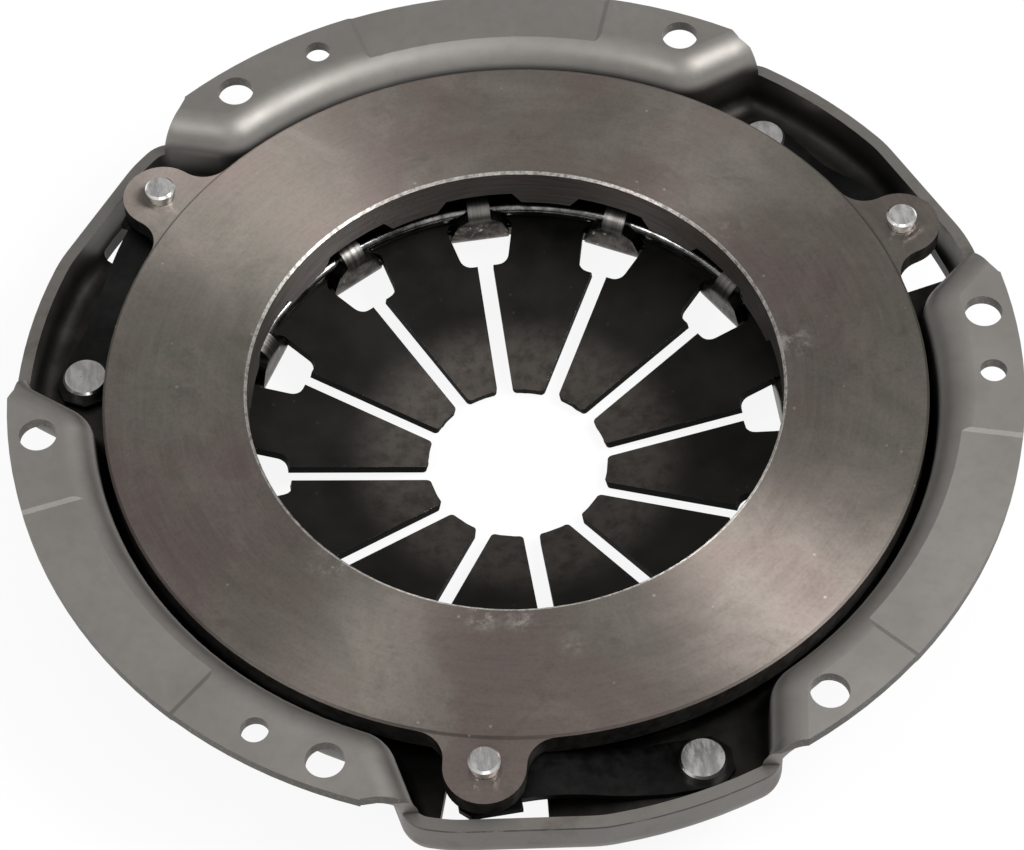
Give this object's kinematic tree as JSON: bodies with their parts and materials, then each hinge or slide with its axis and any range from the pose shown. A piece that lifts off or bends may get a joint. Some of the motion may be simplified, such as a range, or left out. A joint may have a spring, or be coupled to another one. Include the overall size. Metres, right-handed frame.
{
  "type": "clutch pressure plate",
  "caption": "Clutch cover with a bolted flange, a ground friction plate on sprung straps and a slotted diaphragm spring, seen with its friction face up.",
  "frame": {"origin": "centre of the bolt circle on the flange face that is bolted to the flywheel", "axes": "+Z along the axis of the clutch towards the flywheel, so the friction face looks along +Z; +X through one bolt hole"},
  "size_m": [0.2284, 0.2277, 0.0375],
  "materials": {
    "cover_steel": "satin",
    "plate_iron": "ground",
    "spring_steel": "dark oiled",
    "wire_steel": "satin",
    "strap_steel": "dark oiled",
    "lug_rivet_steel": "bright",
    "anchor_rivet_steel": "satin"
  },
  "bodies": {
    "cover": {"cover": "cover_steel", "diaphragm_spring": "spring_steel", "fulcrum_ring": "wire_steel", "strap_1_lower": "strap_steel", "strap_1_middle": "strap_steel", "strap_1_upper": "strap_steel", "strap_2_lower": "strap_steel", "strap_2_middle": "strap_steel", "strap_2_upper": "strap_steel", "strap_3_lower": "strap_steel", "strap_3_middle": "strap_steel", "strap_3_upper": "strap_steel", "anchor_rivet_1": "anchor_rivet_steel", "anchor_rivet_2": "anchor_rivet_steel", "anchor_rivet_3": "anchor_rivet_steel"},
    "plate": {"pressure_plate": "plate_iron", "lug_rivet_1": "lug_rivet_steel", "lug_rivet_2": "lug_rivet_steel", "lug_rivet_3": "lug_rivet_steel"}
  },
  "joints": [
    {"name": "plate_travel", "type": "slide", "parent": "cover", "child": "plate", "axis": [0, 0, 1], "range_m": [-0.0059, 0], "stiffness_N_per_m": 20000, "springref_m": 0.004, "deforming": ["diaphragm_spring", "strap_1_lower", "strap_1_middle", "strap_1_upper", "strap_2_lower", "strap_2_middle", "strap_2_upper", "strap_3_lower", "strap_3_middle", "strap_3_upper"]}
  ]
}
